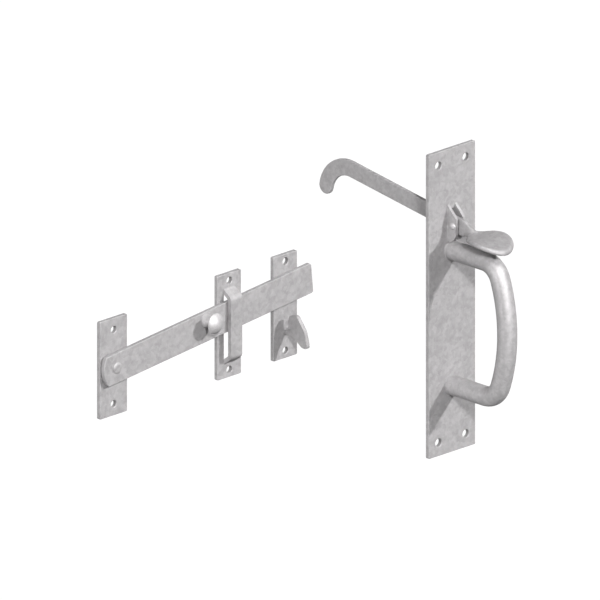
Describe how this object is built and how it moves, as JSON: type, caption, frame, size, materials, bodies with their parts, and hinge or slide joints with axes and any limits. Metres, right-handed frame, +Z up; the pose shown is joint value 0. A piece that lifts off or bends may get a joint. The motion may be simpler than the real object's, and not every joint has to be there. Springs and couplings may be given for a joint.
{
  "type": "suffolk latch",
  "caption": "Galvanised suffolk latch set: thumb lever and bow grip on a backplate, latch bar with knob, lanced keeper and ramped catch hook.",
  "frame": {"origin": "centre of the handle plate's back face, on the face of the door", "axes": "+Z up, -Y towards the person who uses the grip, +X to the right, the latch bar lies along X"},
  "size_m": [0.3709, 0.1916, 0.225],
  "materials": {
    "sheet": "satin",
    "grip": "satin",
    "forging": "satin",
    "pins": "satin"
  },
  "bodies": {
    "fixed": {"handle_plate": "sheet", "grip_handle": "grip", "pivot_ear_left": "sheet", "pivot_ear_right": "sheet", "lever_pin": "pins", "bar_plate": "sheet", "bar_rivet": "pins", "bar_washer": "pins", "keeper_plate": "sheet", "catch_plate": "sheet", "catch_hook": "sheet"},
    "bar": {"latch_bar": "sheet", "bar_knob": "pins"},
    "lever": {"thumb_lever": "forging"}
  },
  "joints": [
    {"name": "bar_pivot", "type": "hinge", "parent": "fixed", "child": "bar", "pos_m": [-0.3344, -0.00525, 0.0339], "axis": [0, 1, 0], "range_deg": [0, 6.5]},
    {"name": "thumb_pivot", "type": "hinge", "parent": "fixed", "child": "lever", "pos_m": [0, -0.0081, 0.0568], "axis": [1, 0, 0], "range_deg": [-14, 10]}
  ]
}
